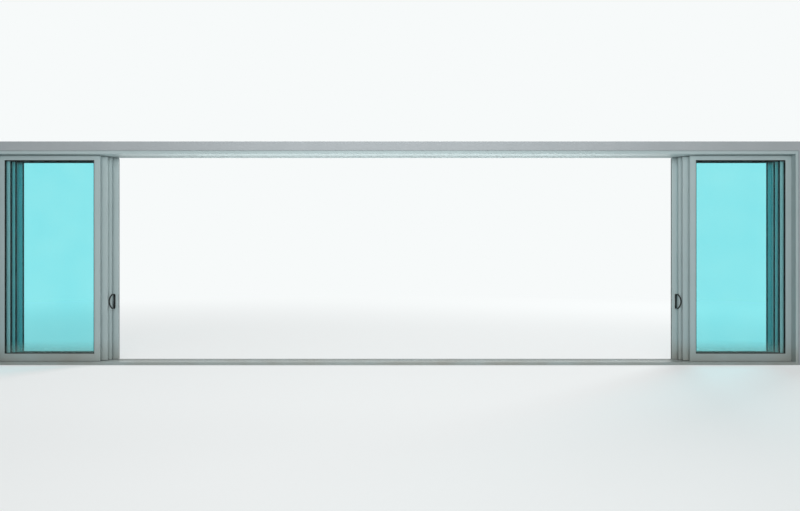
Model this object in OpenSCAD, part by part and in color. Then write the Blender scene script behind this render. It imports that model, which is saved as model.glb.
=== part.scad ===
// Wide stacking glass door of a beach house, in millimetres.
// Eight white aluminium panels, four a side, park behind the fixed outer ones.
// +X runs along the wall, -Y is the room side, +Z is up.
// The origin is the middle of the base, on the floor.

/* [Doorway] */
// Clear width between the two jambs
clear_w = 11500; // [9000:50:14000]
// Clear height from the sill to the underside of the head
clear_h = 2990; // [2400:10:3400]

/* [Outer frame] */
// Width of the head and jamb profiles seen from the room
jamb_w = 50; // [40:1:90]
// Depth of the mitred casing in front of the fixed panels
casing_d = 98; // [60:1:140]
// Width of the shadow gap round the outer edge of the casing
reveal_w = 10; // [6:1:16]
// Depth of that shadow gap
reveal_d = 14; // [8:1:30]
// Distance from one track to the next
track_pitch = 66; // [62:1:90]
// Frame depth behind the outermost panel
rear_lip = 12; // [8:1:40]
// Thickness of the sill, whose top is the finished floor line
sill_h = 40; // [36:1:60]
// Width of the slots in the head that take the guide fins
head_slot_w = 26; // [24:1:32]
// Depth of those slots
head_slot_d = 30; // [26:1:34]
// Width of the sill channels
channel_w = 34; // [30:1:44]
// Depth of the sill channels
channel_d = 26; // [20:1:30]
// Open joint between a base profile and the guides screwed on it
joint_gap = 0.3; // [0.2:0.1:0.5]
// Height and depth of the brush grooves beside the head slots
brush_groove = 4; // [3:0.5:6]
// Width of the non-slip grooves along the sill
tread_groove_w = 3; // [2:0.5:4]
// Depth of those grooves
tread_groove_d = 1.5; // [1:0.5:2]
// Distance from one of those grooves to the next
tread_groove_pitch = 8; // [6:1:12]
// Length of a drain slot
weep_l = 30; // [20:1:50]
// Height of a drain slot
weep_h = 6; // [4:0.5:8]
// Depth of a drain slot
weep_d = 5; // [3:0.5:8]
// Number of drain slots along the outside of the sill
weep_count = 6; // [2:1:12]

/* [Panels] */
// Thickness of a panel
panel_t = 44; // [40:1:50]
// Width of the upright stiles
stile_w = 85; // [75:1:110]
// Height of the top rail
top_rail_h = 60; // [50:1:110]
// Height of the bottom rail
bottom_rail_h = 104; // [95:1:180]
// Radius along the edges of the profiles
edge_r = 3; // [1:0.5:4]
// Thickness of the laminated glass unit
glass_t = 24; // [14:1:28]
// Thickness of the black gasket on each face of the glass
gasket_t = 4; // [3:0.5:5]
// Gasket width that shows inside the profiles
gasket_show = 9; // [6:1:16]
// How far the glass reaches into the profiles
glass_bite = 14; // [10:1:20]
// Width of the glazing bead
bead_w = 20; // [14:1:30]
// Width and depth of the joint line beside the bead
bead_groove = 2; // [1:0.5:3]
// Bevel of the bead towards the glass
bead_bevel = 4; // [3.5:0.5:5]
// Width and depth of the hairline where a rail butts on a stile
butt_line = 1; // [0.5:0.5:1.5]
// Distance from the end of a panel to its drain slot
weep_in = 320; // [280:5:500]
// Height of that slot above the foot of the panel
weep_z = 24; // [15:1:40]
// Lap of two closed panels
lap = 75; // [65:1:80]
// How much narrower the fixed panels are
fixed_less = 30; // [0:1:60]
// Gap between the two leading panels when closed
meet_gap = 8; // [8:1:14]
// Gap between a panel and the head
top_gap = 12; // [8:1:20]
// Gap between a panel and the sill
bottom_gap = 6; // [5:1:10]
// Thickness of the guide fin on top of a panel
guide_t = 12; // [8:1:14]
// How far the guide fin reaches into the head slot
guide_bite = 18; // [12:1:21]

/* [Parked stack] */
// Distance from the jamb to the parked second panel
park_2 = 43; // [30:1:60]
// Distance from the jamb to the parked third panel
park_3 = 78; // [65:1:90]
// Distance from the jamb to the parked leading panel
park_4 = 150; // [145:1:180]

/* [Interlocks] */
// Thickness of an interlock fin
hook_t = 4; // [3:0.5:5]
// Reach of an interlock fin from the panel face
hook_reach = 14; // [12:1:16]
// Width of the flange that fastens an interlock to its stile
hook_base_w = 18; // [14:1:24]
// Thickness of that flange
hook_base_t = 2; // [1:0.5:3]
// Gap between two closed interlock fins
hook_gap = 6; // [5:0.5:9]
// Width of the bulb seal on a leading edge
bulb_w = 14; // [8:1:24]
// How far the bulb seal stands out
bulb_t = 1.4; // [1:0.1:1.5]

/* [Rollers] */
// Width of a running rail
rail_w = 8; // [6:1:10]
// Height of a running rail above its channel
rail_h = 24; // [18:1:26]
// Depth of the groove in a wheel
groove_d = 4; // [3:0.5:5]
// Diameter of a wheel at the bottom of its groove
tread_d = 32; // [28:1:36]
// Width of a wheel
wheel_w = 15; // [13:1:17]
// Diameter of an axle
axle_d = 8; // [6:1:9]
// Diameter of a wheel's hub
hub_d = 16; // [13:1:18]
// Thickness of a wheel's rim at the bottom of its groove
rim_t = 4; // [3:0.5:5]
// Depth of the recess between hub and rim
web_in = 3.5; // [2:0.5:4]
// Distance between the two wheels of a carriage
wheel_base = 70; // [60:1:120]
// Length of a carriage
carriage_l = 140; // [130:1:220]
// Width of a carriage
carriage_w = 24; // [23:1:30]
// Wall thickness of a carriage
carriage_wall = 2.5; // [2:0.5:3]
// Distance from the end of a panel to a carriage
carriage_in = 110; // [95:1:300]
// Running clearance between wheel and rail
run_gap = 0.3; // [0.2:0.1:0.6]

/* [Pulls] */
// Height of the pulls above the sill
pull_z = 860; // [800:5:1200]
// Height of the D-shaped loop
pull_h = 220; // [180:5:240]
// Width of the back plate
plate_w = 28; // [24:1:30]
// Thickness of the back plate
plate_t = 8; // [5:1:10]
// Distance from the leading edge to the middle of the back plate
pull_in = 57; // [52:1:58]
// Thickness of the loop towards the room
loop_t = 11; // [9:0.5:11]
// Width of the loop
loop_w = 18; // [17:1:20]
// Reach of the bow to the side
bow_reach = 53; // [40:1:55]
// Radius along the edges of the loop
loop_r = 3.5; // [2:0.5:4]
// Diameter of the legs of the loop
leg_d = 14; // [12:1:16]
// How far the bosses stand proud of the loop
boss_rim = 1; // [0.5:0.5:1]
// Diameter of the thumb turn's spindle
turn_d = 13; // [10:1:16]
// Distance of the thumb turn below the middle of the loop
turn_down = 52; // [30:1:70]
// Reach of the spindle from the plate
turn_reach = 13; // [10:1:20]
// Length of the thumb turn's paddle
paddle_l = 22; // [18:1:24]
// Width of the paddle
paddle_w = 9; // [7:1:10]
// Thickness of the paddle
paddle_t = 10; // [8:1:14]
// Lean of the paddle from upright
paddle_lean = 40; // [0:5:45]
// Width of the flush pull on the outside
cup_w = 44; // [36:1:50]
// Height of the flush pull
cup_h = 180; // [140:5:220]
// Depth of the flush pull
cup_d = 14; // [10:1:18]
// Wall thickness of the flush pull
cup_wall = 2; // [1.5:0.5:3]

/* [Wall] */
// Thickness of the plastered wall
wall_t = 340; // [300:5:400]
// Width of the plastered pier beside each jamb
pier_w = 200; // [100:10:600]
// Height of the plastered band above the frame
band_h = 130; // [100:10:600]

/* [Hidden] */
$fn = 48;
eps = 1;

// Four panels a side share the clear width, less the laps.
half_w = clear_w / 2;
panel_w = (half_w + fixed_less + 3 * lap - meet_gap / 2) / 4;
fixed_w = panel_w - fixed_less;
panel_z = sill_h + bottom_gap;
panel_h = clear_h - bottom_gap - top_gap;
frame_w = clear_w + 2 * jamb_w;
frame_h = sill_h + clear_h + jamb_w;
frame_d = casing_d + 3 * track_pitch + panel_t + rear_lip;
front_y = -frame_d / 2;
rear_y = front_y + frame_d;
track_front_y = front_y + casing_d;
head_z = frame_h - jamb_w;
channel_z = sill_h - channel_d;
hook_in = (lap - hook_gap) / 2 - hook_t;
pocket_t = glass_t + 2 * gasket_t;
sight_h = panel_h - top_rail_h - bottom_rail_h;
rail_top = channel_z + rail_h;
axle_z = rail_top + run_gap + tread_d / 2 - panel_z;
wheel_d = tread_d + 2 * groove_d;
wheel_room = 3;
carriage_top = axle_z + wheel_d / 2 + wheel_room;
leaf_gap = track_pitch - panel_t;
// The bow passes midway through the gap in front of the third panel.
stand_off = leaf_gap + panel_t + leaf_gap / 2;

frame_white = [0.86, 0.88, 0.88];
plaster_grey = [0.80, 0.81, 0.81];
glass_teal = [0.35, 0.72, 0.72, 0.45];
black = [0.07, 0.07, 0.08];
steel = [0.62, 0.63, 0.64];

function width(k) = k == 1 ? fixed_w : panel_w;
function park(k) = k == 1 ? 0 : k == 2 ? park_2 : k == 3 ? park_3 : park_4;
function lead_x(k) = half_w - park(k) - width(k);
function track_y(k) = track_front_y + panel_t / 2 + (k - 1) * track_pitch;

// Rectangle with round corners, centred
module soft_rect(w, h, r) {
    square([w, h - 2 * r], center = true);
    square([w - 2 * r, h], center = true);
    for (x = [-1, 1], y = [-1, 1])
        translate([x * (w / 2 - r), y * (h / 2 - r)]) circle(r);
}

// Upright slot with round ends, centred
module round_slot(w, h) {
    square([w, h - w], center = true);
    for (y = [-1, 1]) translate([0, y * (h - w) / 2]) circle(w / 2);
}

// Drain slot in a face that looks to the outside, centred at a point of that face
module weep_slot(at) {
    translate(at) rotate([90, 0, 0]) translate([0, 0, -eps])
        linear_extrude(weep_d + eps) rotate(90) round_slot(weep_h, weep_l);
}

// Box given by its low corner and its size
module block(at, size) {
    translate(at) cube(size);
}

// Places panel k of the right-hand stack: x = 0 is its leading edge, z = 0 its foot
module at_panel(k) {
    translate([lead_x(k), track_y(k), panel_z]) children();
}

// The left-hand stack mirrors the right-hand one.
module on_left() {
    mirror([1, 0, 0]) children();
}

// Upright profile with round edges from x to x + stile_w
module stile(x) {
    translate([x + stile_w / 2, 0, 0])
        linear_extrude(panel_h) soft_rect(stile_w, panel_t, edge_r);
}

// Upright slab that stands in the plane of the glass, grown past the sight line
module sight_slab(w, grow, y, t) {
    block([stile_w - grow, y, bottom_rail_h - grow],
        [w - 2 * stile_w + 2 * grow, t, sight_h + 2 * grow]);
}

// Plan of an opening of width w through the profiles, wider at both faces by the bevel
module bevelled_gap(w) {
    half = panel_t / 2;
    out = w / 2 + bead_bevel + eps;
    for (s = [-1, 1]) polygon([[-out, s * (half + eps)], [out, s * (half + eps)],
        [w / 2, s * (half - bead_bevel)], [w / 2, 0], [-w / 2, 0], [-w / 2, s * (half - bead_bevel)]]);
}

// Opening for the glass, with the beads bevelled on both faces
module sight_cut(w) {
    sight_w = w - 2 * stile_w;
    translate([w / 2, 0, bottom_rail_h + sight_h / 2]) intersection() {
        linear_extrude(sight_h + 4 * bead_bevel, center = true) bevelled_gap(sight_w);
        rotate([0, -90, 0]) linear_extrude(w, center = true) bevelled_gap(sight_h);
    }
}

// Hairlines on both faces where the rails butt on the stiles
module butt_lines(w) {
    for (x = [stile_w, w - stile_w], y = [-panel_t / 2, panel_t / 2], z = [
        [-eps, bottom_rail_h],
        [panel_h - top_rail_h, panel_h + eps]
    ])
        block([x - butt_line / 2, y - butt_line, z[0]], [butt_line, 2 * butt_line, z[1] - z[0]]);
}

// Joint line of the glazing bead on one face, from y to y + bead_groove
module bead_line(w, y) {
    difference() {
        sight_slab(w, bead_w + bead_groove, y, bead_groove);
        sight_slab(w, bead_w, y - eps, bead_groove + 2 * eps);
    }
}

// Panel k of the right-hand stack without its glass: the sash, its guide fin and its interlocks
module panel(k) {
    w = width(k);
    fin_x = hook_in + hook_t / 2;
    fin_y = panel_t / 2 + joint_gap;
    color(frame_white) at_panel(k) {
        sash(k);
        guide_fin(k);
        if (k < 4) translate([fin_x, fin_y, 0]) interlock();
        if (k > 1) translate([w - fin_x, -fin_y, 0]) rotate(180) interlock();
    }
}

// Two stiles and two rails, with the pocket for the glass and the room for what is let in
module sash(k) {
    w = width(k);
    half_t = panel_t / 2;
    difference() {
        union() {
            stile(0);
            stile(w - stile_w);
            for (rail = [[0, bottom_rail_h], [panel_h - top_rail_h, top_rail_h]])
                block([edge_r, -half_t, rail[0]], [w - 2 * edge_r, panel_t, rail[1]]);
        }
        sight_cut(w);
        sight_slab(w, glass_bite, -pocket_t / 2, pocket_t);
        butt_lines(w);
        for (x = [weep_in, w - weep_in]) weep_slot([x, half_t, weep_z]);
        bead_line(w, -half_t - eps / 2);
        bead_line(w, half_t - bead_groove + eps / 2);
        if (k > 1) for (x = carriage_places(w)) carriage_pocket(x);
        if (k == 4) cup_room();
    }
}

// Interlock: a fin with a round tip that stands on a flange, towards +Y
module interlock() {
    tip_y = hook_reach - joint_gap - hook_t / 2;
    linear_extrude(panel_h) {
        translate([-hook_base_w / 2, 0]) square([hook_base_w, hook_base_t]);
        translate([-hook_t / 2, 0]) square([hook_t, tip_y]);
        translate([0, tip_y]) circle(hook_t / 2);
    }
}

// Fin that runs in the head slot, or fastens the fixed panel under the head
module guide_fin(k) {
    rise = k == 1 ? top_gap : top_gap + guide_bite;
    block([0, -guide_t / 2, panel_h + joint_gap], [width(k), guide_t, rise - joint_gap]);
}

// Glass of panel k
module glass(k) {
    color(glass_teal) at_panel(k) sight_slab(width(k), glass_bite, -glass_t / 2, glass_t);
}

// Black gasket of panel k, and the bulb seal of the leading panel
module seal(k) {
    w = width(k);
    color(black) at_panel(k) {
        difference() {
            sight_slab(w, glass_bite, -pocket_t / 2, pocket_t);
            sight_slab(w, glass_bite + eps, -glass_t / 2, glass_t);
            sight_slab(w, -gasket_show, -pocket_t, 2 * pocket_t);
        }
        if (k == 4) block([-bulb_t, -bulb_w / 2, 0], [bulb_t, bulb_w, panel_h]);
    }
}

function carriage_places(w) = [carriage_in, w - carriage_in - carriage_l];

// Pocket in the bottom rail that holds a carriage
module carriage_pocket(x) {
    block([x, -carriage_w / 2, -eps], [carriage_l, carriage_w, carriage_top + carriage_wall + eps]);
}

// Wheel with a round groove, its axle along Y, and a recess in both faces between hub and rim
module wheel() {
    rim = wheel_d / 2;
    web_w = tread_d / 2 - rim_t - hub_d / 2;
    rotate([90, 0, 0]) rotate_extrude() difference() {
        translate([0, -wheel_w / 2]) square([rim, wheel_w]);
        translate([rim + rail_w / 2 - groove_d, 0]) circle(rail_w / 2 + run_gap);
        for (y = [-wheel_w / 2 - eps, wheel_w / 2 - web_in])
            translate([hub_d / 2, y]) square([web_w, web_in + eps]);
    }
}

// Tray with two wheels, from x to x + carriage_l
module carriage(x) {
    inner = carriage_w - 2 * carriage_wall;
    difference() {
        block([x, -carriage_w / 2, 0],
            [carriage_l, carriage_w, carriage_top + carriage_wall]);
        block([x - eps, -inner / 2, -eps], [carriage_l + 2 * eps, inner, carriage_top + eps]);
    }
    for (side = [-1, 1]) translate([x + carriage_l / 2 + side * wheel_base / 2, 0, axle_z]) {
        wheel();
        rotate([90, 0, 0]) cylinder(d = axle_d, h = carriage_w, center = true);
    }
}

// Both carriages of panel k
module rollers(k) {
    color(steel) at_panel(k) for (x = carriage_places(width(k))) carriage(x);
}

// Leg from the back plate to the bow, along -Y, with the boss that takes the end of the bow
module pull_leg() {
    rotate([90, 0, 0]) {
        cylinder(d = leg_d, h = stand_off);
        translate([0, 0, stand_off - loop_t / 2 - boss_rim / 2])
            cylinder(d = loop_w + 2 * boss_rim, h = loop_t + boss_rim);
    }
}

// Bow of the loop: the arc through both legs and the farthest point
module pull_bow() {
    half_h = (pull_h - loop_w) / 2;
    side = bow_reach - loop_w / 2;
    arc_r = (half_h * half_h + side * side) / (2 * side);
    intersection() {
        translate([side - arc_r, -stand_off, 0]) rotate([90, 0, 0])
            rotate_extrude($fn = 96) translate([arc_r, 0]) soft_rect(loop_w, loop_t, loop_r, $fn = 24);
        block([0, -stand_off - loop_t, -pull_h], [bow_reach + eps, 2 * loop_t, 2 * pull_h]);
    }
}

// Spindle with a flat paddle
module thumb_turn() {
    rotate([90, 0, 0]) {
        cylinder(d = turn_d, h = plate_t + turn_reach);
        translate([0, 0, plate_t + turn_reach - eps]) rotate(-paddle_lean)
            linear_extrude(paddle_t + eps) round_slot(paddle_w, paddle_l);
    }
}

// D-shaped pull on its back plate, with or without a thumb turn
module pull(turn) {
    color(black) at_panel(4) translate([pull_in, -panel_t / 2, pull_z - bottom_gap]) {
        rotate([90, 0, 0]) linear_extrude(plate_t) round_slot(plate_w, pull_h);
        for (s = [-1, 1]) translate([0, 0, s * (pull_h - loop_w) / 2]) pull_leg();
        pull_bow();
        if (turn) translate([0, 0, -turn_down]) thumb_turn();
    }
}

// Space in the leading stile for the flush pull
module cup_room() {
    translate([stile_w / 2, panel_t / 2 + eps, pull_z - bottom_gap]) rotate([90, 0, 0])
        linear_extrude(cup_d + eps) soft_rect(cup_w, cup_h, cup_w / 4);
}

// Flush pull: a shallow cup let into the outside of the leading stile
module flush_pull() {
    inner_w = cup_w - 2 * cup_wall;
    inner_h = cup_h - 2 * cup_wall;
    color(black) at_panel(4) translate([stile_w / 2, panel_t / 2, pull_z - bottom_gap])
        rotate([90, 0, 0]) difference() {
            linear_extrude(cup_d) soft_rect(cup_w, cup_h, cup_w / 4);
            translate([0, 0, -eps])
                linear_extrude(cup_d - cup_wall + eps) soft_rect(inner_w, inner_h, inner_w / 4);
        }
}

// Section of the casing: x from its inner edge outwards, y from the room side backwards
module casing_section() {
    face_w = jamb_w - reveal_w;
    translate([face_w / 2, casing_d / 2]) soft_rect(face_w, casing_d, edge_r);
    translate([edge_r, edge_r + eps]) square([jamb_w - edge_r, casing_d - edge_r - eps]);
}

// Shadow gap along the outer edge of that section
module casing_reveal() {
    translate([jamb_w - reveal_w, -eps]) square([reveal_w + eps, reveal_d + eps]);
}

// Part of the casing inside an outline drawn in the wall plane, whose slanted edges are the mitres
module mitred(outline) {
    intersection() {
        children();
        translate([0, track_front_y + eps, 0]) rotate([90, 0, 0])
            linear_extrude(casing_d + 2 * eps) polygon(outline);
    }
}

module head_casing() {
    out_x = half_w + jamb_w;
    color(frame_white) mitred([[-half_w, head_z], [half_w, head_z], [out_x, frame_h], [-out_x, frame_h]])
        translate([out_x, front_y, head_z]) rotate([0, -90, 0]) linear_extrude(2 * out_x) difference() {
            casing_section();
            casing_reveal();
        }
}

module jamb_casing_right() {
    out_x = half_w + jamb_w;
    color(frame_white) mitred([[half_w, 0], [out_x, 0], [out_x, frame_h], [half_w, head_z]])
        translate([half_w, front_y, 0]) linear_extrude(frame_h) difference() {
            casing_section();
            casing_reveal();
        }
}

module jamb_casing_left() {
    on_left() jamb_casing_right();
}

// The strips between the tracks: strip 1 starts at y = first, strip 4 ends at the back.
function strip_from(i, first, slot_w) = i == 1 ? first : track_y(i) + slot_w / 2;
function strip_to(i, slot_w) = i == 4 ? rear_y : track_y(i + 1) - slot_w / 2;

// Long guide profile with round edges, from y0 to y1 and z0 to z1
module guide(y0, y1, z0, z1) {
    translate([-half_w, (y0 + y1) / 2, (z0 + z1) / 2])
        rotate([90, 0, 90]) linear_extrude(clear_w) soft_rect(y1 - y0, z1 - z0, edge_r);
}

// Head behind the casing: a flat liner, and under it four guides with a slot between each two
module head_track() {
    roof_z = head_z + head_slot_d;
    color(frame_white) {
        block([-half_w, track_front_y, roof_z], [clear_w, frame_d - casing_d, frame_h - roof_z]);
        difference() {
            for (i = [1:4]) guide(strip_from(i, track_front_y, head_slot_w), strip_to(i, head_slot_w),
                head_z, roof_z - joint_gap);
            for (k = [2:4]) block(
                [-half_w - eps, track_y(k) - head_slot_w / 2 - brush_groove, head_z + 1.5 * brush_groove],
                [clear_w + 2 * eps, head_slot_w + 2 * brush_groove, brush_groove]);
        }
    }
}

// Jamb profile behind the casing
module jamb_right() {
    color(frame_white)
        block([half_w, track_front_y, 0], [jamb_w, frame_d - casing_d, frame_h]);
}

module jamb_left() {
    on_left() jamb_right();
}

// Non-slip grooves along the top of the sill between y0 and y1
module tread_grooves(y0, y1) {
    count = floor((y1 - y0 - tread_groove_pitch) / tread_groove_pitch);
    first = (y0 + y1 - (count - 1) * tread_groove_pitch - tread_groove_w) / 2;
    for (i = [0:1:count - 1])
        block([-half_w - eps, first + i * tread_groove_pitch, sill_h - tread_groove_d],
            [clear_w + 2 * eps, tread_groove_w, tread_groove_d + eps]);
}

// Flush sill: a base plate with drain slots, four treads with a channel between each two,
// and on the first tread a packer under each fixed panel
module sill_track() {
    color(frame_white) {
        difference() {
            block([-half_w, front_y, 0], [clear_w, frame_d, channel_z]);
            for (i = [0:1:weep_count - 1])
                weep_slot([(i + 0.5) * clear_w / weep_count - half_w, rear_y, channel_z / 2]);
        }
        difference() {
            for (i = [1:4]) guide(strip_from(i, front_y, channel_w), strip_to(i, channel_w),
                channel_z + joint_gap, sill_h);
            tread_grooves(front_y, track_front_y);
            for (i = [2:4]) tread_grooves(strip_from(i, front_y, channel_w), strip_to(i, channel_w));
        }
        for (x = [-half_w, half_w - fixed_w])
            block([x, track_y(1) - pocket_t / 2, sill_h + joint_gap],
                [fixed_w, pocket_t, bottom_gap - joint_gap]);
    }
}

// Stainless running rails with a round top, one in each channel
module sill_rails() {
    stem = rail_h - rail_w / 2;
    color(steel) for (k = [2:4]) translate([-half_w, track_y(k), channel_z])
        rotate([90, 0, 90]) linear_extrude(clear_w) {
            translate([-rail_w / 2, 0]) square([rail_w, stem]);
            translate([0, stem]) circle(rail_w / 2);
        }
}

// Plastered band over the frame
module wall_lintel() {
    color(plaster_grey) block([-frame_w / 2 - pier_w, -wall_t / 2, frame_h],
        [frame_w + 2 * pier_w, wall_t, band_h]);
}

// Plastered pier beside the frame
module wall_pier_right() {
    color(plaster_grey) block([frame_w / 2, -wall_t / 2, 0], [pier_w, wall_t, frame_h]);
}

module wall_pier_left() {
    on_left() wall_pier_right();
}

module panel_left_1() { on_left() panel(1); }
module panel_left_2() { on_left() panel(2); }
module panel_left_3() { on_left() panel(3); }
module panel_left_4() { on_left() panel(4); }
module panel_right_1() { panel(1); }
module panel_right_2() { panel(2); }
module panel_right_3() { panel(3); }
module panel_right_4() { panel(4); }
module glass_left_1() { on_left() glass(1); }
module glass_left_2() { on_left() glass(2); }
module glass_left_3() { on_left() glass(3); }
module glass_left_4() { on_left() glass(4); }
module glass_right_1() { glass(1); }
module glass_right_2() { glass(2); }
module glass_right_3() { glass(3); }
module glass_right_4() { glass(4); }
module seal_left_1() { on_left() seal(1); }
module seal_left_2() { on_left() seal(2); }
module seal_left_3() { on_left() seal(3); }
module seal_left_4() { on_left() seal(4); }
module seal_right_1() { seal(1); }
module seal_right_2() { seal(2); }
module seal_right_3() { seal(3); }
module seal_right_4() { seal(4); }
module rollers_left_2() { on_left() rollers(2); }
module rollers_left_3() { on_left() rollers(3); }
module rollers_left_4() { on_left() rollers(4); }
module rollers_right_2() { rollers(2); }
module rollers_right_3() { rollers(3); }
module rollers_right_4() { rollers(4); }
module pull_left() { on_left() pull(turn = true); }
module pull_right() { pull(turn = false); }
module flush_pull_left() { on_left() flush_pull(); }
module flush_pull_right() { flush_pull(); }

wall_lintel();
wall_pier_left();
wall_pier_right();
head_casing();
jamb_casing_left();
jamb_casing_right();
head_track();
jamb_left();
jamb_right();
sill_track();
sill_rails();
panel_left_1();
panel_left_2();
panel_left_3();
panel_left_4();
panel_right_1();
panel_right_2();
panel_right_3();
panel_right_4();
glass_left_1();
glass_left_2();
glass_left_3();
glass_left_4();
glass_right_1();
glass_right_2();
glass_right_3();
glass_right_4();
seal_left_1();
seal_left_2();
seal_left_3();
seal_left_4();
seal_right_1();
seal_right_2();
seal_right_3();
seal_right_4();
rollers_left_2();
rollers_left_3();
rollers_left_4();
rollers_right_2();
rollers_right_3();
rollers_right_4();
pull_left();
pull_right();
flush_pull_left();
flush_pull_right();
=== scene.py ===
import math
import random
import bmesh
import bpy
from mathutils import Matrix, Vector


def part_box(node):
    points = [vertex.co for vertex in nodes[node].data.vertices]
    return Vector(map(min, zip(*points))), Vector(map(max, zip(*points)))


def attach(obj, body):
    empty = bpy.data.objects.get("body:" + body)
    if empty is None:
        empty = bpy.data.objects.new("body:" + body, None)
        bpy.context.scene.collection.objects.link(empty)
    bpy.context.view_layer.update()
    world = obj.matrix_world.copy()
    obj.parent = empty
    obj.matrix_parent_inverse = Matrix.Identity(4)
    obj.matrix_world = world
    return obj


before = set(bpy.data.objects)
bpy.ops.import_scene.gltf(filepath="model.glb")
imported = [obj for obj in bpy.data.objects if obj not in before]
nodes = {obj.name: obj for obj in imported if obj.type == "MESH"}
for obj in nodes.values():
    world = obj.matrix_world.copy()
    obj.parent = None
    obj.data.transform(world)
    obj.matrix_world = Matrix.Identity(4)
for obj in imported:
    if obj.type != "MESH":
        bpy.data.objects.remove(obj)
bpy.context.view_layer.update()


# The wall
# A strip of plastered concrete round the doorway: a band over the frame and a pier at each
# side. It is floated smooth and rolled with two coats of matt white masonry paint, so close
# up it has the fine stipple of a roller over the long soft waves of the float.

def linear(hex_code):
    """Turns an sRGB hex colour such as "#C3C8CB" to linear RGBA."""
    parts = [int(hex_code[i:i + 2], 16) / 255 for i in (1, 3, 5)]
    return [c / 12.92 if c <= 0.04045 else ((c + 0.055) / 1.055) ** 2.4 for c in parts] + [1.0]


def add_node(tree, kind, links=None, **settings):
    """Adds a node. A setting is one of its properties, or an input by name with _ for a space."""
    node = tree.nodes.new(kind)
    for name, value in settings.items():
        if name in node.bl_rna.properties:
            setattr(node, name, value)
        else:
            node.inputs[name.replace("_", " ")].default_value = value
    for name, socket in (links or {}).items():
        tree.links.new(socket, node.inputs[name])
    return node


def new_material(name):
    """Returns an empty material with its node tree and output, and a node for Object coordinates."""
    material = bpy.data.materials.new(name)
    material.use_nodes = True
    tree = material.node_tree
    tree.nodes.clear()
    output = tree.nodes.new("ShaderNodeOutputMaterial")
    coords = tree.nodes.new("ShaderNodeTexCoord")
    return material, tree, output, coords.outputs["Object"]


def dress(node_name, material):
    """Gives a CAD node its finish."""
    for slot in nodes[node_name].material_slots:
        slot.material = material


# Roller stipple is 3 mm in life, drawn at 8 mm so that it shows; float waves are 350 mm long.
plaster, tree, output, place = new_material("rolled_masonry_paint")
waves = add_node(tree, "ShaderNodeTexNoise", {"Vector": place}, Scale=1 / 0.35, Detail=3.0,
                 Roughness=0.5)
stipple = add_node(tree, "ShaderNodeTexNoise", {"Vector": place}, Scale=1 / 0.008, Detail=2.0,
                   Roughness=0.6)
tone = add_node(tree, "ShaderNodeMix", {"Factor": waves.outputs["Fac"]}, data_type="RGBA")
tone.inputs["A"].default_value = linear("#A0A6A9")
tone.inputs["B"].default_value = linear("#ABB0B3")
bump = add_node(tree, "ShaderNodeBump", {"Height": stipple.outputs["Fac"]}, Strength=0.25, Distance=0.0008)
surface = add_node(tree, "ShaderNodeBsdfPrincipled",
                   {"Base Color": tone.outputs["Result"], "Normal": bump.outputs["Normal"]},
                   Roughness=0.85, IOR=1.5)
tree.links.new(surface.outputs["BSDF"], output.inputs["Surface"])
for name in ("wall_lintel", "wall_pier_left", "wall_pier_right"):
    dress(name, plaster)
wall_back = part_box("wall_lintel")[1].y


# The outer frame
# Extruded aluminium: a mitred casing on the inner side, and behind it the track profiles of the
# head, the jambs and the sill, screwed together at the corners. All of it is powder coated in a
# satin white, which leaves a faint orange peel and a soft highlight. Dust and painted shade darken its
# foot.

# Orange peel is 1.5 mm in life, drawn at 5 mm; the coat's tone drifts over half a metre.
white_coat, tree, output, place = new_material("satin_powder_coat")
drift = add_node(tree, "ShaderNodeTexNoise", {"Vector": place}, Scale=1 / 0.5, Detail=2.0, Roughness=0.5)
peel = add_node(tree, "ShaderNodeTexNoise", {"Vector": place}, Scale=1 / 0.005, Detail=1.0, Roughness=0.4)
tone = add_node(tree, "ShaderNodeMix", {"Factor": drift.outputs["Fac"]}, data_type="RGBA")
tone.inputs["A"].default_value = linear("#A2B2B3")
tone.inputs["B"].default_value = linear("#ABBABB")
height = add_node(tree, "ShaderNodeSeparateXYZ", {"Vector": place})
# Towards the foot the coat turns a warm grey. This is partly dust and partly painted shade near the floor,
# broken up by the drift.
low_down = add_node(tree, "ShaderNodeMapRange", {"Value": height.outputs["Z"]},
                    From_Min=0.02, From_Max=0.4, To_Min=1.0, To_Max=0.0, interpolation_type="SMOOTHSTEP")
foot_mask = add_node(tree, "ShaderNodeMath", {0: low_down.outputs["Result"], 1: drift.outputs["Fac"]},
                   operation="MULTIPLY")
dust_and_shade = add_node(tree, "ShaderNodeMix", {"Factor": foot_mask.outputs[0], "A": tone.outputs["Result"]},
                 data_type="RGBA")
dust_and_shade.inputs["B"].default_value = linear("#8F8D83")
# Shoes scuff the treads across, in marks some 60 mm long and 6 mm wide, on what faces up alone.
across = add_node(tree, "ShaderNodeMapping", {"Vector": place})
across.inputs["Scale"].default_value = (1 / 0.006, 1 / 0.06, 1 / 0.06)
marks = add_node(tree, "ShaderNodeTexNoise", {"Vector": across.outputs["Vector"]}, Scale=1.0, Detail=2.0)
strong = add_node(tree, "ShaderNodeMapRange", {"Value": marks.outputs["Fac"]}, From_Min=0.52, From_Max=0.72)
underfoot = add_node(tree, "ShaderNodeMapRange", {"Value": height.outputs["Z"]},
                     From_Min=0.039, From_Max=0.042, To_Min=0.3, To_Max=0.0)
facing = add_node(tree, "ShaderNodeTexCoord")
upward = add_node(tree, "ShaderNodeSeparateXYZ", {"Vector": facing.outputs["Normal"]})
trodden = add_node(tree, "ShaderNodeMath", {0: underfoot.outputs["Result"], 1: upward.outputs["Z"]},
                   operation="MULTIPLY", use_clamp=True)
scuffs = add_node(tree, "ShaderNodeMath", {0: strong.outputs["Result"], 1: trodden.outputs[0]},
                  operation="MULTIPLY")
scuffed = add_node(tree, "ShaderNodeMix", {"Factor": scuffs.outputs[0], "A": dust_and_shade.outputs["Result"]},
                   data_type="RGBA")
scuffed.inputs["B"].default_value = linear("#62625C")
gloss = add_node(tree, "ShaderNodeMapRange", {"Value": drift.outputs["Fac"]}, To_Min=0.32, To_Max=0.42)
bump = add_node(tree, "ShaderNodeBump", {"Height": peel.outputs["Fac"]}, Strength=0.12, Distance=0.0004)
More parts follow.
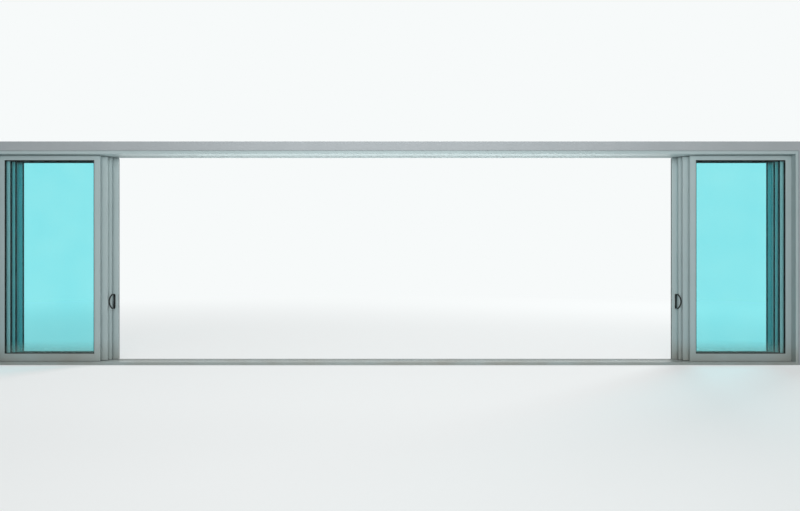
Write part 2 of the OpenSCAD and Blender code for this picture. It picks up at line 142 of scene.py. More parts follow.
surface = add_node(tree, "ShaderNodeBsdfPrincipled",
                   {"Base Color": scuffed.outputs["Result"], "Roughness": gloss.outputs["Result"],
                    "Normal": bump.outputs["Normal"]}, IOR=1.5)
tree.links.new(surface.outputs["BSDF"], output.inputs["Surface"])
for name in ("head_casing", "jamb_casing_left", "jamb_casing_right", "head_track", "jamb_left",
             "jamb_right", "sill_track"):
    dress(name, white_coat)


# The sealant
# A bead of white silicone, gunned and wetted smooth into the step outside, where the frame stands
# a little proud of the wall. It runs up one jamb, across the head and down the other.

frame_low, frame_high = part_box("jamb_right")
BEAD_RADIUS = frame_high.y - wall_back

# Silicone keeps a smooth skin, on which grime gathers in patches of a few centimetres.
silicone, tree, output, place = new_material("white_silicone")
grime = add_node(tree, "ShaderNodeTexNoise", {"Vector": place}, Scale=1 / 0.04, Detail=2.0, Roughness=0.6)
tone = add_node(tree, "ShaderNodeMix", {"Factor": grime.outputs["Fac"]}, data_type="RGBA")
tone.inputs["A"].default_value = linear("#9CA5A4")
tone.inputs["B"].default_value = linear("#AEB6B5")
surface = add_node(tree, "ShaderNodeBsdfPrincipled", {"Base Color": tone.outputs["Result"]},
                   Roughness=0.38, IOR=1.41)
tree.links.new(surface.outputs["BSDF"], output.inputs["Surface"])


def add_piece(name, bm, material, body):
    """Makes a bmesh a piece of the door, which rides on a body and takes the given finish."""
    bmesh.ops.recalc_face_normals(bm, faces=bm.faces)
    mesh = bpy.data.meshes.new(name)
    bm.to_mesh(mesh)
    bm.free()
    mesh.materials.append(material)
    piece = bpy.data.objects.new(name, mesh)
    bpy.context.scene.collection.objects.link(piece)
    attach(piece, body)


def run_on(bm, edges, rule):
    """Extrudes a ring of edges, puts each new vertex where the rule says, and returns the new ring."""
    grown = bmesh.ops.extrude_edge_only(bm, edges=edges)["geom"]
    for vert in grown:
        if isinstance(vert, bmesh.types.BMVert):
            vert.co = rule(vert.co)
    return [edge for edge in grown if isinstance(edge, bmesh.types.BMEdge)]


foot = Vector((frame_high.x, wall_back, 0.0))
bm = bmesh.new()
bmesh.ops.create_circle(bm, segments=16, radius=BEAD_RADIUS, matrix=Matrix.Translation(foot))
ring = run_on(bm, bm.edges[:], lambda at: Vector((at.x, at.y, frame_high.z + at.x - foot.x)))
ring = run_on(bm, ring, lambda at: Vector((-at.x, at.y, at.z)))
run_on(bm, ring, lambda at: Vector((at.x, at.y, 0.0)))
bmesh.ops.holes_fill(bm, edges=[edge for edge in bm.edges if edge.is_boundary])
add_piece("sealant_bead", bm, silicone, "doorway")


# The frame's screws
# Stainless screws with a low domed head and a lobed socket hold the treads down to the sill and
# the guides up to the head, every half metre. Each head is turned, so it shines softly.

SCREW_RADIUS = 0.004
SCREW_HEAD_T = 0.002
# Steps across a small face, from its rim inwards: the width of each, and how far it rises
SCREW_DOME = ((0.0008, 0.0005), (0.0011, 0.0002))
SCREW_SOCKET = ((0.0001, -0.0014),)
SOCKET_WAIST = 0.7
SCREW_SPACING = 0.5
SCREWS_A_ROW = 23
GUIDE_1_BACK = 0.005
TREAD_Z = 0.040
casing_low, casing_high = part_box("head_casing")
HEAD_Z = casing_low.z

# Turning marks are too fine to see; a slow change of gloss over 6 mm stands for them.
screw_steel, tree, output, place = new_material("turned_stainless_steel")
marks = add_node(tree, "ShaderNodeTexNoise", {"Vector": place}, Scale=1 / 0.006, Detail=1.0)
gloss = add_node(tree, "ShaderNodeMapRange", {"Value": marks.outputs["Fac"]}, To_Min=0.25, To_Max=0.45)
surface = add_node(tree, "ShaderNodeBsdfPrincipled", {"Roughness": gloss.outputs["Result"]}, Metallic=1.0)
surface.inputs["Base Color"].default_value = linear("#B4B7B9")
tree.links.new(surface.outputs["BSDF"], output.inputs["Surface"])


def top_face(bm):
    """Returns the highest face of a small shape."""
    return max(bm.faces, key=lambda face: face.calc_center_median().z)


def step_face(bm, face, steps):
    """Insets a face step by step."""
    for width, rise in steps:
        bmesh.ops.inset_region(bm, faces=[face], thickness=width, depth=rise)


def as_pattern(bm, name):
    """Keeps a small bmesh, its top towards +Z, as a mesh for stamp to copy."""
    bmesh.ops.recalc_face_normals(bm, faces=bm.faces)
    pattern = bpy.data.meshes.new(name)
    bm.to_mesh(pattern)
    bm.free()
    return pattern


def stamp(bm, pattern, point, facing):
    """Copies a pattern to a point, its top facing a direction and its Y axis upright on a wall."""
    first = len(bm.verts)
    bm.from_mesh(pattern)
    bm.verts.ensure_lookup_table()
    turn = Vector(facing).to_track_quat("Z", "Y").to_matrix().to_4x4()
    bmesh.ops.transform(bm, matrix=Matrix.Translation(point) @ turn, verts=bm.verts[first:])


bm = bmesh.new()
bmesh.ops.create_cone(bm, cap_ends=True, segments=12, radius1=SCREW_RADIUS, radius2=SCREW_RADIUS,
                      depth=SCREW_HEAD_T, matrix=Matrix.Translation((0, 0, -SCREW_HEAD_T / 2)))
crown = top_face(bm)
step_face(bm, crown, SCREW_DOME)
for vert in list(crown.verts)[::2]:
    vert.co.xy *= SOCKET_WAIST
step_face(bm, crown, SCREW_SOCKET)
screw = as_pattern(bm, "screw")


def track_y(k):
    """Returns the middle of track k, where its glass stands."""
    low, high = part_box(f"glass_right_{k}")
    return (low.y + high.y) / 2


half_pitch = (track_y(2) - track_y(1)) / 2
between_2_and_3 = track_y(2) + half_pitch
between_3_and_4 = track_y(3) + half_pitch
under_casing = (casing_low.y + casing_high.y) / 2
behind_1 = track_y(1) + half_pitch + GUIDE_1_BACK
rows = {"tread_screws": (TREAD_Z, 1, (under_casing, between_2_and_3, between_3_and_4)),
        "guide_screws": (HEAD_Z, -1, (behind_1, between_2_and_3, between_3_and_4))}
for name, (z, up, lines) in rows.items():
    bm = bmesh.new()
    for y in lines:
        for i in range(SCREWS_A_ROW):
            stamp(bm, screw, ((i - (SCREWS_A_ROW - 1) / 2) * SCREW_SPACING, y, z), (0, 0, up))
    add_piece(name, bm, screw_steel, "doorway")


# The cover caps
# White nylon caps pushed over the frame fixings in the jambs, behind each track. They are moulded
# with a soft edge and a shallow dish, and are a little glossier than the coat round them.

# The left half mirrors the right one, so a place is worked out on the right and turned by its sign.
SIDES = {"left": -1, "right": 1}
SLIDING = (2, 3, 4)
HALF_CLEAR = frame_low.x
CAP_HEIGHTS = (0.3, 0.9, 1.5, 2.1, 2.7)
CAP_RADIUS = 0.007
BUTTON_T = 0.002
BUTTON_SUNK = 0.0003
BUTTON_DISH = ((0.0004, 0.0005), (0.0008, 0.0001), (0.0012, -0.0004))

# Moulded nylon has a waxy sheen that clouds over 10 mm.
white_nylon, tree, output, place = new_material("moulded_white_nylon")
cloud = add_node(tree, "ShaderNodeTexNoise", {"Vector": place}, Scale=1 / 0.01, Detail=1.0)
tone = add_node(tree, "ShaderNodeMix", {"Factor": cloud.outputs["Fac"]}, data_type="RGBA")
tone.inputs["A"].default_value = linear("#A6B0B0")
tone.inputs["B"].default_value = linear("#B2BBBB")
surface = add_node(tree, "ShaderNodeBsdfPrincipled", {"Base Color": tone.outputs["Result"]},
                   Roughness=0.3, IOR=1.53)
tree.links.new(surface.outputs["BSDF"], output.inputs["Surface"])


def button(name, radius):
    """Returns the pattern of a round push-in cap with a soft edge and a dished face."""
    bm = bmesh.new()
    bmesh.ops.create_cone(bm, cap_ends=True, segments=20, radius1=radius, radius2=radius,
                          depth=BUTTON_T, matrix=Matrix.Translation((0, 0, -BUTTON_SUNK)))
    step_face(bm, top_face(bm), BUTTON_DISH)
    return as_pattern(bm, name)


cap = button("cap", CAP_RADIUS)
bm = bmesh.new()
for sign in SIDES.values():
    for k in SLIDING:
        for z in CAP_HEIGHTS:
            stamp(bm, cap, (sign * HALF_CLEAR, track_y(k), z), (-sign, 0, 0))
add_piece("jamb_caps", bm, white_nylon, "doorway")


# The stack stops
# A short aluminium post on the jamb behind each sliding panel, with a rubber pad at its end. Its
# length sets how far the panel parks, so that the stack opens as steps.

STOP_SIZE = Vector((0.020, 0.030))
STOP_Z = 0.100
STOP_CLEAR = 0.008
POST_EDGE = 0.0015
PAD_T = 0.010
PAD_SHARE = 0.9
PAD_EDGE = 0.003

# EPDM is matt black with a greyish bloom in patches of 40 mm.
rubber, tree, output, place = new_material("epdm_rubber")
bloom = add_node(tree, "ShaderNodeTexNoise", {"Vector": place}, Scale=1 / 0.04, Detail=3.0, Roughness=0.6)
tone = add_node(tree, "ShaderNodeMix", {"Factor": bloom.outputs["Fac"]}, data_type="RGBA")
tone.inputs["A"].default_value = linear("#171D1D")
tone.inputs["B"].default_value = linear("#283030")
surface = add_node(tree, "ShaderNodeBsdfPrincipled", {"Base Color": tone.outputs["Result"]},
                   Roughness=0.65, IOR=1.5)
tree.links.new(surface.outputs["BSDF"], output.inputs["Surface"])


def rounded_block(bm, middle, size, radius):
    """Adds a block with round edges."""
    fit = Matrix.Translation(middle) @ Matrix.Diagonal((*size, 1.0))
    corners = bmesh.ops.create_cube(bm, size=1.0, matrix=fit)["verts"]
    edges = {edge for corner in corners for edge in corner.link_edges}
    bmesh.ops.bevel(bm, geom=list(edges), offset=radius, offset_type="OFFSET", segments=2,
                    profile=0.5, affect="EDGES", clamp_overlap=True, material=-1)


posts = bmesh.new()
pads = bmesh.new()
for sign in SIDES.values():
    for k in SLIDING:
        pad_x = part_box(f"panel_right_{k}")[1].x + STOP_CLEAR + PAD_T / 2
        post_l = HALF_CLEAR - pad_x - PAD_T / 2
        rounded_block(posts, (sign * (HALF_CLEAR - post_l / 2), track_y(k), STOP_Z),
                      (post_l, *STOP_SIZE), POST_EDGE)
        rounded_block(pads, (sign * pad_x, track_y(k), STOP_Z), (PAD_T, *STOP_SIZE * PAD_SHARE),
                      PAD_EDGE)
add_piece("stop_posts", posts, white_coat, "doorway")
add_piece("stop_pads", pads, rubber, "doorway")


# The drain grilles
# Black nylon grilles clipped into the drain slots on the outside of the sill and of each bottom
# rail. Four bars keep insects out and let the water off the track.

SILL_DRAINS = 6
SILL_DRAIN_Z = 0.007
PANEL_DRAIN_IN = 0.320
PANEL_DRAIN_Z = 0.070
GRILLE_W = 0.0298
GRILLE_H = 0.0058
GRILLE_BACK, GRILLE_FRONT = -0.0048, -0.0015
GRILLE_TRAY = ((0.0007, 0.0), (0.0001, -0.0025))
GRILLE_BARS = 4
BAR_PITCH = 0.006
BAR_SIZE = (0.0012, 0.005, 0.002)
BAR_Z = -0.0027
BAR_EDGE = 0.0003
END_SEGMENTS = 16

# The mould is spark eroded, so the nylon has a fine even grain, 0.5 mm in life and drawn at 1.5 mm.
black_nylon, tree, output, place = new_material("moulded_black_nylon")
grain = add_node(tree, "ShaderNodeTexNoise", {"Vector": place}, Scale=1 / 0.0015, Detail=1.0)
bump = add_node(tree, "ShaderNodeBump", {"Height": grain.outputs["Fac"]}, Strength=0.2, Distance=0.0002)
tone = add_node(tree, "ShaderNodeMix", {"Factor": grain.outputs["Fac"]}, data_type="RGBA")
tone.inputs["A"].default_value = linear("#15191A")
tone.inputs["B"].default_value = linear("#232829")
surface = add_node(tree, "ShaderNodeBsdfPrincipled",
                   {"Base Color": tone.outputs["Result"], "Normal": bump.outputs["Normal"]},
                   Roughness=0.48, IOR=1.53)
tree.links.new(surface.outputs["BSDF"], output.inputs["Surface"])


def round_ended(bm, width, height, low, high):
    """Adds a plate with round ends that lies in the XY plane, and returns its top face."""
    half_segment = Matrix.Rotation(math.pi / END_SEGMENTS, 4, "Z")
    fit = Matrix.Translation((0, 0, (low + high) / 2)) @ half_segment
    radius = min(width, height) / 2
    rim = bmesh.ops.create_cone(bm, cap_ends=True, segments=END_SEGMENTS, radius1=radius,
                                radius2=radius, depth=high - low, matrix=fit)["verts"]
    for vert in rim:
        vert.co.x += math.copysign(width / 2 - radius, vert.co.x)
        vert.co.y += math.copysign(height / 2 - radius, vert.co.y)
    return top_face(bm)


bm = bmesh.new()
step_face(bm, round_ended(bm, GRILLE_W, GRILLE_H, GRILLE_BACK, GRILLE_FRONT), GRILLE_TRAY)
for i in range(GRILLE_BARS):
    rounded_block(bm, ((i - (GRILLE_BARS - 1) / 2) * BAR_PITCH, 0, BAR_Z), BAR_SIZE, BAR_EDGE)
grille = as_pattern(bm, "grille")

bm = bmesh.new()
for i in range(SILL_DRAINS):
    x = ((i + 0.5) / SILL_DRAINS * 2 - 1) * HALF_CLEAR
    stamp(bm, grille, (x, frame_high.y, SILL_DRAIN_Z), (0, 1, 0))
add_piece("sill_drains", bm, black_nylon, "doorway")


# The running rails
# Three lengths of cold drawn stainless bar with a round top, pressed into the sill channels.
# The wheels polish the crown, and the drawing leaves fine lines along each rail.

# Drawing lines are 0.3 mm apart in life, drawn at 1.5 mm across and a metre long.
rail_steel, tree, output, place = new_material("drawn_stainless_steel")
along = add_node(tree, "ShaderNodeMapping", {"Vector": place})
along.inputs["Scale"].default_value = (1.0, 1 / 0.0015, 1 / 0.0015)
lines = add_node(tree, "ShaderNodeTexNoise", {"Vector": along.outputs["Vector"]}, Scale=1.0, Detail=2.0)
tone = add_node(tree, "ShaderNodeMix", {"Factor": lines.outputs["Fac"]}, data_type="RGBA")
tone.inputs["A"].default_value = linear("#9A9DA0")
tone.inputs["B"].default_value = linear("#C4C7C9")
height = add_node(tree, "ShaderNodeSeparateXYZ", {"Vector": place})
crown = add_node(tree, "ShaderNodeMapRange", {"Value": height.outputs["Z"]},
                 From_Min=0.0355, From_Max=0.0378, To_Min=1.0, To_Max=0.4)
gloss = add_node(tree, "ShaderNodeMapRange", {"Value": lines.outputs["Fac"]}, To_Min=0.28, To_Max=0.48)
worn = add_node(tree, "ShaderNodeMath", {0: gloss.outputs["Result"], 1: crown.outputs["Result"]},
                operation="MULTIPLY")
surface = add_node(tree, "ShaderNodeBsdfPrincipled",
                   {"Base Color": tone.outputs["Result"], "Roughness": worn.outputs[0]}, Metallic=1.0)
tree.links.new(surface.outputs["BSDF"], output.inputs["Surface"])
dress("sill_rails", rail_steel)


# The rollers
# Pressed trays with two grooved wheels each, let into the bottom rails. They are zinc plated and
# passivated, which gives a bluish grey with a dull spangle.

# The spangle is a few millimetres across on such small parts.
zinc, tree, output, place = new_material("zinc_plated_steel")
spangle = add_node(tree, "ShaderNodeTexVoronoi", {"Vector": place}, Scale=1 / 0.004)
tone = add_node(tree, "ShaderNodeMix", {"Factor": spangle.outputs["Distance"]}, data_type="RGBA")
tone.inputs["A"].default_value = linear("#8C9399")
tone.inputs["B"].default_value = linear("#B3B9BE")
gloss = add_node(tree, "ShaderNodeMapRange", {"Value": spangle.outputs["Distance"]}, To_Min=0.3, To_Max=0.5)
surface = add_node(tree, "ShaderNodeBsdfPrincipled",
                   {"Base Color": tone.outputs["Result"], "Roughness": gloss.outputs["Result"]},
                   Metallic=1.0)
tree.links.new(surface.outputs["BSDF"], output.inputs["Surface"])
for side in SIDES:
    for k in SLIDING:
        dress(f"rollers_{side}_{k}", zinc)


# The head brushes
# Strips of grey polypropylene pile, slid into the grooves on both sides of each head slot. They
# brush the guide fin, so no draught or dust comes past it. Pile never ends quite straight.

HEAD_SLOT_W = 0.026
TUFT = 0.02
PILE_T = 0.003
PILE_UNEVEN = 0.0008
BRUSH_REACH = 0.0085
BRUSH_GROOVE = 0.0035
BRUSH_UP = 0.0065
BRUSH_Z = HEAD_Z + BRUSH_UP

# Pile fibres are 0.1 mm thick in life, drawn as streaks of 1 mm.
pile, tree, output, place = new_material("polypropylene_pile")
fibres = add_node(tree, "ShaderNodeTexNoise", {"Vector": place}, Scale=1 / 0.001, Detail=2.0)
tone = add_node(tree, "ShaderNodeMix", {"Factor": fibres.outputs["Fac"]}, data_type="RGBA")
tone.inputs["A"].default_value = linear("#2E3234")
tone.inputs["B"].default_value = linear("#565B5D")
surface = add_node(tree, "ShaderNodeBsdfPrincipled", {"Base Color": tone.outputs["Result"]},
                   Roughness=0.9, IOR=1.49, Sheen_Weight=0.3)
tree.links.new(surface.outputs["BSDF"], output.inputs["Surface"])
uneven = random.Random(11)


def extrude_by(bm, faces, vector):
    """Extrudes faces by a vector."""
    grown = bmesh.ops.extrude_face_region(bm, geom=faces)["geom"]
    bmesh.ops.translate(bm, vec=vector, verts=[v for v in grown if isinstance(v, bmesh.types.BMVert)])


def pile_strip(bm, start, length, towards, thickness):
    """Adds a strip of pile that starts at a point. Its tips look towards a direction, unevenly."""
    length, towards, thickness = Vector(length), Vector(towards), Vector(thickness)
    fit = Matrix((length, towards, thickness)).transposed().to_4x4()
    fit.translation = Vector(start) + (length + towards) / 2
    ribbon = bmesh.ops.create_grid(bm, x_segments=round(length.length / TUFT), y_segments=1,
                                   size=0.5, matrix=fit)["verts"]
    for vert in ribbon:
        if (vert.co - Vector(start)).dot(towards) > towards.length_squared / 2:
            vert.co -= towards.normalized() * uneven.uniform(0.0, PILE_UNEVEN)
    extrude_by(bm, list({face for vert in ribbon for face in vert.link_faces}), thickness)


bm = bmesh.new()
for k in SLIDING:
    for way in (-1, 1):
        pile_strip(bm, (-HALF_CLEAR, track_y(k) + way * (HEAD_SLOT_W / 2 + BRUSH_GROOVE), BRUSH_Z),
                   (2 * HALF_CLEAR, 0, 0), (0, -way * BRUSH_REACH, 0), (0, 0, PILE_T))
add_piece("head_brushes", bm, pile, "doorway")


# The panels
# Eight frames of the same powder-coated extrusion, rails butted between full-height stiles, beads
# clipped in from the inner side. Nylon shoes and pile close the interlocks, snapped covers fill
# the slots behind panels 1 and 2, and plugs hide the adjusters.

ALL_PANELS = (1, 2, 3, 4)
FIXED, LEADING = 1, 4
PANEL_T = 0.044
FIN_IN = 0.0325
FIN_HALF_T = 0.002
FIN_PILE_OUT = 0.005
FIN_PILE_REACH = 0.004
FIN_PILE_W = 0.006
SHOE = Vector((0.005, 0.013, 0.024))
SHOE_EDGE = 0.001
SHOE_OUT = 0.009
# Section of the cover: how far from the edge of the stile, and how far out from its back
COVER_SECTION = ((0.0035, 0.0), (0.014, 0.0), (0.014, 0.0015), (0.004, 0.0015), (0.002, 0.003),
                 (0.002, 0.0155), (0.005, 0.0155), (0.005, 0.017), (0.0005, 0.017), (0.0005, 0.002))
COVER_SHORT = 0.006
COVER_IN = {1: 0.0, 2: 0.004}
PULL_ROOM = 0.02
PLUG_RADIUS = 0.0042
PLUG_Z = 0.098
PLUG_Y = -0.012
panel_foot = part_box("panel_right_4")[0].z
panel_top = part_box("seal_right_4")[1].z
pull_low, pull_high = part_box("pull_right")
# Panel 1 has its cover in one length, panel 2 has it cut out for the pull, and panel 3 has none.
cover_foot, cover_top = panel_foot + COVER_SHORT, panel_top - COVER_SHORT
cover_lengths = {1: ((cover_foot, cover_top),),
                 2: ((cover_foot, pull_low.z - PULL_ROOM), (pull_high.z + PULL_ROOM, cover_top))}


def body_of(side, k):
    """Returns the body of a panel. The first panel of each side is fixed to its jamb."""
    return "doorway" if k == FIXED else f"{side}_panel_{k}"


plug = button("plug", PLUG_RADIUS)
for side, sign in SIDES.items():
    for k in ALL_PANELS:
        dress(f"panel_{side}_{k}", white_coat)
        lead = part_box(f"panel_right_{k}")[0].x
        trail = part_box(f"panel_right_{k}")[1].x
        back = track_y(k) + PANEL_T / 2
        front = track_y(k) - PANEL_T / 2

        shoes = bmesh.new()
        fins = [(lead + FIN_IN, back + SHOE_OUT)] if k != LEADING else []
        fins += [(trail - FIN_IN, front - SHOE_OUT)] if k != FIXED else []
        for x, y in fins:
            for z in (panel_foot + SHOE.z / 2, panel_top - SHOE.z / 2):
                rounded_block(shoes, (sign * x, y, z), SHOE, SHOE_EDGE)
        add_piece(f"interlock_shoes_{side}_{k}", shoes, black_nylon, body_of(side, k))

        if k != LEADING:
            bm = bmesh.new()
            start = (sign * (lead + FIN_IN + FIN_HALF_T), back + FIN_PILE_OUT, panel_foot + SHOE.z)
            pile_strip(bm, start, (0, 0, panel_top - panel_foot - 2 * SHOE.z),
                       (sign * FIN_PILE_REACH, 0, 0), (0, FIN_PILE_W, 0))
            add_piece(f"interlock_pile_{side}_{k}", bm, pile, body_of(side, k))

        if k in COVER_IN:
            bm = bmesh.new()
            edge = lead + COVER_IN[k]
            for low, high in cover_lengths[k]:
                outline = [bm.verts.new((sign * (edge + x), back + y, low)) for x, y in COVER_SECTION]
                extrude_by(bm, [bm.faces.new(outline)], (0, 0, high - low))
            add_piece(f"interlock_cover_{side}_{k}", bm, white_coat, body_of(side, k))

        bm = bmesh.new()
        for x in (lead + PANEL_DRAIN_IN, trail - PANEL_DRAIN_IN):
            stamp(bm, grille, (sign * x, back, PANEL_DRAIN_Z), (0, 1, 0))
        add_piece(f"rail_drains_{side}_{k}", bm, black_nylon, body_of(side, k))

        if k != FIXED:
            bm = bmesh.new()
            stamp(bm, plug, (sign * lead, track_y(k) + PLUG_Y, PLUG_Z), (-sign, 0, 0))
            stamp(bm, plug, (sign * trail, track_y(k) + PLUG_Y, PLUG_Z), (sign, 0, 0))
            add_piece(f"adjuster_plugs_{side}_{k}", bm, white_nylon, body_of(side, k))


# The glass
# Sealed units of laminated float glass with a blue-green body tint and a clear sun coating. Four
# lie behind one another in a parked stack, so the tint deepens with each one.

# The tint drifts a little over half a metre. A film of dust lies on the lowest 200 mm.
tinted, tree, output, place = new_material("tinted_laminated_glass")
drift = add_node(tree, "ShaderNodeTexNoise", {"Vector": place}, Scale=1 / 0.5, Detail=1.0)
tint = add_node(tree, "ShaderNodeMix", {"Factor": drift.outputs["Fac"]}, data_type="RGBA")
tint.inputs["A"].default_value = linear("#D9F9FB")
tint.inputs["B"].default_value = linear("#E0FBFC")
pane = add_node(tree, "ShaderNodeBsdfPrincipled", {"Base Color": tint.outputs["Result"]},
                Roughness=0.0, IOR=1.2, Transmission_Weight=1.0)
clear = add_node(tree, "ShaderNodeBsdfTransparent", {"Color": tint.outputs["Result"]})
height = add_node(tree, "ShaderNodeSeparateXYZ", {"Vector": place})
low_down = add_node(tree, "ShaderNodeMapRange", {"Value": height.outputs["Z"]},
                    From_Min=0.13, From_Max=0.35, To_Min=0.16, To_Max=0.0, interpolation_type="SMOOTHSTEP")
smears = add_node(tree, "ShaderNodeTexNoise", {"Vector": place}, Scale=1 / 0.06, Detail=4.0, Roughness=0.6)
foot_mask = add_node(tree, "ShaderNodeMath", {0: low_down.outputs["Result"], 1: smears.outputs["Fac"]},
                   operation="MULTIPLY")
film = add_node(tree, "ShaderNodeBsdfDiffuse")
film.inputs["Color"].default_value = linear("#B9BBB2")
filmed = add_node(tree, "ShaderNodeMixShader",
                  {0: foot_mask.outputs[0], 1: pane.outputs["BSDF"], 2: film.outputs["BSDF"]})
path = add_node(tree, "ShaderNodeLightPath")
lets_lamps_through = add_node(tree, "ShaderNodeMixShader",
                              {0: path.outputs["Is Shadow Ray"], 1: filmed.outputs["Shader"],
                               2: clear.outputs["BSDF"]})
tree.links.new(lets_lamps_through.outputs["Shader"], output.inputs["Surface"])
for side in SIDES:
    for k in ALL_PANELS:
        dress(f"glass_{side}_{k}", tinted)


# The gaskets
# Extruded EPDM wedges that hold the glass on both faces, and a bulb seal down each leading edge,
# in the same rubber as the pads of the stops.

for side in SIDES:
    for k in ALL_PANELS:
        dress(f"seal_{side}_{k}", rubber)


# The pulls
# A cast zinc D-shaped pull with a thumb turn on the inner side of each leading panel, and a
# pressed flush cup on the outside, each on two black screws. All are powder coated satin black,
# and hands rub the coat to a slightly lighter, smoother sheen.

PULL_Z = 0.900
PULL_IN = 0.057
PLATE_T = 0.008
PLATE_SCREWS = 0.078
CUP_IN = 0.0425
CUP_FLOOR = 0.012
CUP_SCREWS = 0.062

# Orange peel is 1.5 mm in life, drawn at 3 mm; rubbed patches are some 30 mm across.
black_coat, tree, output, place = new_material("black_powder_coat")
peel = add_node(tree, "ShaderNodeTexNoise", {"Vector": place}, Scale=1 / 0.003, Detail=1.0)
rubbed = add_node(tree, "ShaderNodeTexNoise", {"Vector": place}, Scale=1 / 0.03, Detail=2.0)
tone = add_node(tree, "ShaderNodeMix", {"Factor": rubbed.outputs["Fac"]}, data_type="RGBA")
tone.inputs["A"].default_value = linear("#090C0D")
tone.inputs["B"].default_value = linear("#15191B")
gloss = add_node(tree, "ShaderNodeMapRange", {"Value": rubbed.outputs["Fac"]}, To_Min=0.5, To_Max=0.36)
bump = add_node(tree, "ShaderNodeBump", {"Height": peel.outputs["Fac"]}, Strength=0.15, Distance=0.0003)
surface = add_node(tree, "ShaderNodeBsdfPrincipled",
                   {"Base Color": tone.outputs["Result"], "Roughness": gloss.outputs["Result"],
                    "Normal": bump.outputs["Normal"]}, IOR=1.5)
tree.links.new(surface.outputs["BSDF"], output.inputs["Surface"])
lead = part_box("panel_right_4")[0].x
front = track_y(LEADING) - PANEL_T / 2
back = track_y(LEADING) + PANEL_T / 2
for side, sign in SIDES.items():
    dress(f"pull_{side}", black_coat)
    dress(f"flush_pull_{side}", black_coat)
    bm = bmesh.new()
    for way in (-1, 1):
        on_plate = (sign * (lead + PULL_IN), front - PLATE_T, PULL_Z + way * PLATE_SCREWS)
        stamp(bm, screw, on_plate, (0, -1, 0))
        in_cup = (sign * (lead + CUP_IN), back - CUP_FLOOR, PULL_Z + way * CUP_SCREWS)
        stamp(bm, screw, in_cup, (0, 1, 0))
    add_piece(f"pull_screws_{side}", bm, black_coat, body_of(side, LEADING))


# The lock plates
# A narrow stainless plate let on to the leading edge of each leading panel, beside the bulb seal,
# with a slot for the hook bolt and a screw at each end. It is ground lengthways.

LOCK_Y = -0.0132
LOCK_W = 0.0095
LOCK_H = 0.200
LOCK_BACK, LOCK_FRONT = -0.0005, 0.0008
LOCK_RIM = ((0.0003, 0.0002), (0.0022, 0.0))
LOCK_SLOT = ((0.0001, -0.0009),)
SLOT_SHARE = 0.2
LOCK_SCREWS = 0.088
LOCK_SCREW_OUT = 0.0005

# Grinding lines are 0.2 mm apart in life, drawn at 1 mm across and 200 mm long.
ground_steel, tree, output, place = new_material("ground_stainless_steel")
upright = add_node(tree, "ShaderNodeMapping", {"Vector": place})
upright.inputs["Scale"].default_value = (1 / 0.001, 1 / 0.001, 1 / 0.2)
lines = add_node(tree, "ShaderNodeTexNoise", {"Vector": upright.outputs["Vector"]}, Scale=1.0, Detail=2.0)
gloss = add_node(tree, "ShaderNodeMapRange", {"Value": lines.outputs["Fac"]}, To_Min=0.25, To_Max=0.42)
surface = add_node(tree, "ShaderNodeBsdfPrincipled", {"Roughness": gloss.outputs["Result"]}, Metallic=1.0)
surface.inputs["Base Color"].default_value = linear("#ABAEB0")
tree.links.new(surface.outputs["BSDF"], output.inputs["Surface"])

bm = bmesh.new()
plate = round_ended(bm, LOCK_W, LOCK_H, LOCK_BACK, LOCK_FRONT)
step_face(bm, plate, LOCK_RIM)
for vert in plate.verts:
    vert.co.y *= SLOT_SHARE
step_face(bm, plate, LOCK_SLOT)
lock_plate = as_pattern(bm, "lock_plate")
for side, sign in SIDES.items():
    edge = Vector((sign * lead, track_y(LEADING) + LOCK_Y, PULL_Z))
    bm = bmesh.new()
    stamp(bm, lock_plate, edge, (-sign, 0, 0))
    for way in (-1, 1):
        offset = Vector((-sign * LOCK_SCREW_OUT, 0, way * LOCK_SCREWS))
        stamp(bm, screw, edge + offset, (-sign, 0, 0))
    add_piece(f"lock_plate_{side}", bm, ground_steel, body_of(side, LEADING))
for pattern in (screw, cap, plug, grille, lock_plate):
    bpy.data.meshes.remove(pattern)


# The stage
# A pale seamless floor that fades to the white of the world with distance, and daylight from
# outside, as it comes through such a doorway. Three weaker lamps fill in: one deep inside, one
# nearer the door for the edges of the stacked panels, and one low outside.

FLOOR_SIZE = 400.0
bm = bmesh.new()
bmesh.ops.create_grid(bm, x_segments=1, y_segments=1, size=FLOOR_SIZE / 2)
floor_mesh = bpy.data.meshes.new("floor")
bm.to_mesh(floor_mesh)
bm.free()
floor = bpy.data.objects.new("floor", floor_mesh)
bpy.context.scene.collection.objects.link(floor)


def seen_straight(tree):
    """Returns 1 for a ray that comes from the camera, from a mirror or through glass, and 0 for light."""
    path = add_node(tree, "ShaderNodeLightPath")
    through = add_node(tree, "ShaderNodeMath",
                       {0: path.outputs["Is Camera Ray"], 1: path.outputs["Is Transmission Ray"]},
                       operation="MAXIMUM")
    seen = add_node(tree, "ShaderNodeMath", {0: through.outputs[0], 1: path.outputs["Is Glossy Ray"]},
                    operation="MAXIMUM")
    return seen.outputs[0]


# The near floor keeps the shadow of the doorway, and beyond 22 m the floor is as white as the world.
pale, tree, output, place = new_material("pale_floor")
matt = add_node(tree, "ShaderNodeBsdfDiffuse")
matt.inputs["Color"].default_value = linear("#E4E6E6")
glow = add_node(tree, "ShaderNodeEmission", Strength=1.0)
glow.inputs["Color"].default_value = linear("#F7FAFA")
distance = add_node(tree, "ShaderNodeVectorMath", {0: place}, operation="LENGTH")
fade = add_node(tree, "ShaderNodeMapRange", {"Value": distance.outputs["Value"]},
                From_Min=4.0, From_Max=22.0, To_Min=0.55, To_Max=1.0, interpolation_type="SMOOTHSTEP")
share = add_node(tree, "ShaderNodeMath", {0: fade.outputs["Result"], 1: seen_straight(tree)},
                 operation="MULTIPLY")
mix = add_node(tree, "ShaderNodeMixShader", {0: share.outputs[0], 1: matt.outputs["BSDF"],
                                             2: glow.outputs["Emission"]})
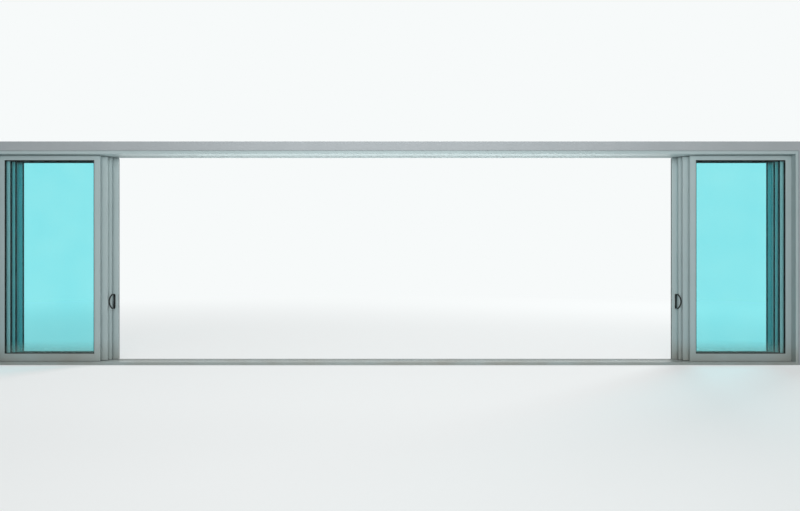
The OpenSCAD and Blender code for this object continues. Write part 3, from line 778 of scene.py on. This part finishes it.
tree.links.new(mix.outputs["Shader"], output.inputs["Surface"])
floor_mesh.materials.append(pale)

world = bpy.data.worlds.new("studio")
world.use_nodes = True
bpy.context.scene.world = world
tree = world.node_tree
tree.nodes.clear()
output = tree.nodes.new("ShaderNodeOutputWorld")
soft = add_node(tree, "ShaderNodeBackground", Strength=0.25)
soft.inputs["Color"].default_value = linear("#F2F7F8")
white = add_node(tree, "ShaderNodeBackground", Strength=1.0)
white.inputs["Color"].default_value = linear("#F7FAFA")
mix = add_node(tree, "ShaderNodeMixShader", {0: seen_straight(tree), 1: soft.outputs["Background"],
                                             2: white.outputs["Background"]})
tree.links.new(mix.outputs["Shader"], output.inputs["Surface"])


def area_lamp(name, size, power, at, towards, spread=180):
    """Adds a square soft lamp that looks at a point. It isn't seen itself, nor through the glass."""
    lamp = bpy.data.lights.new(name, "AREA")
    lamp.size = size
    lamp.spread = math.radians(spread)
    lamp.energy = power
    holder = bpy.data.objects.new(name, lamp)
    holder.location = at
    holder.rotation_euler = (Vector(towards) - Vector(at)).to_track_quat("-Z", "Y").to_euler()
    holder.visible_camera = False
    holder.visible_transmission = False
    holder.visible_glossy = False
    bpy.context.scene.collection.objects.link(holder)


area_lamp("daylight", size=22.0, power=25000.0, at=(24.0, 34.0, 20.0), towards=(0.0, 0.0, 1.6))
area_lamp("inside_fill", size=20.0, power=2400.0, at=(0.0, -30.0, 12.0), towards=(0.0, 0.0, 1.5))
area_lamp("inside_middle", size=3.0, power=165.0, at=(0.0, -11.0, 4.5), towards=(0.0, 0.0, 3.2),
          spread=90)
area_lamp("outside_bounce", size=7.0, power=150.0, at=(0.0, 2.4, 0.05), towards=(0.0, 2.4, 4.0),
          spread=75)


# The camera
# Level, at standing eye height on the inner side, with its picture shifted up a little as in the
# photograph, where eye level lies just under the middle.

PHOTO_WIDTH = 800
PHOTO_HEIGHT = 511
FOCAL_PX = 634.0
EYE_LEVEL_PX = 266.6
DOOR_CENTRE_PX = 395.0
EYE_HEIGHT = 1.375
DISTANCE = 9.096
SENSOR_MM = 36.0
sill_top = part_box("sill_rails")[1].z
camera_data = bpy.data.cameras.new("camera")
camera_data.sensor_width = SENSOR_MM
camera_data.lens = FOCAL_PX * SENSOR_MM / PHOTO_WIDTH
camera_data.shift_y = (EYE_LEVEL_PX - PHOTO_HEIGHT / 2) / PHOTO_WIDTH
camera_data.clip_end = 500.0
camera = bpy.data.objects.new("camera", camera_data)
camera_x = (PHOTO_WIDTH / 2 - DOOR_CENTRE_PX) * DISTANCE / FOCAL_PX
camera.location = (camera_x, casing_low.y - DISTANCE, sill_top + EYE_HEIGHT)
camera.rotation_euler = (math.radians(90), 0, 0)
bpy.context.scene.collection.objects.link(camera)
bpy.context.scene.camera = camera
bpy.context.scene.view_settings.view_transform = "Standard"
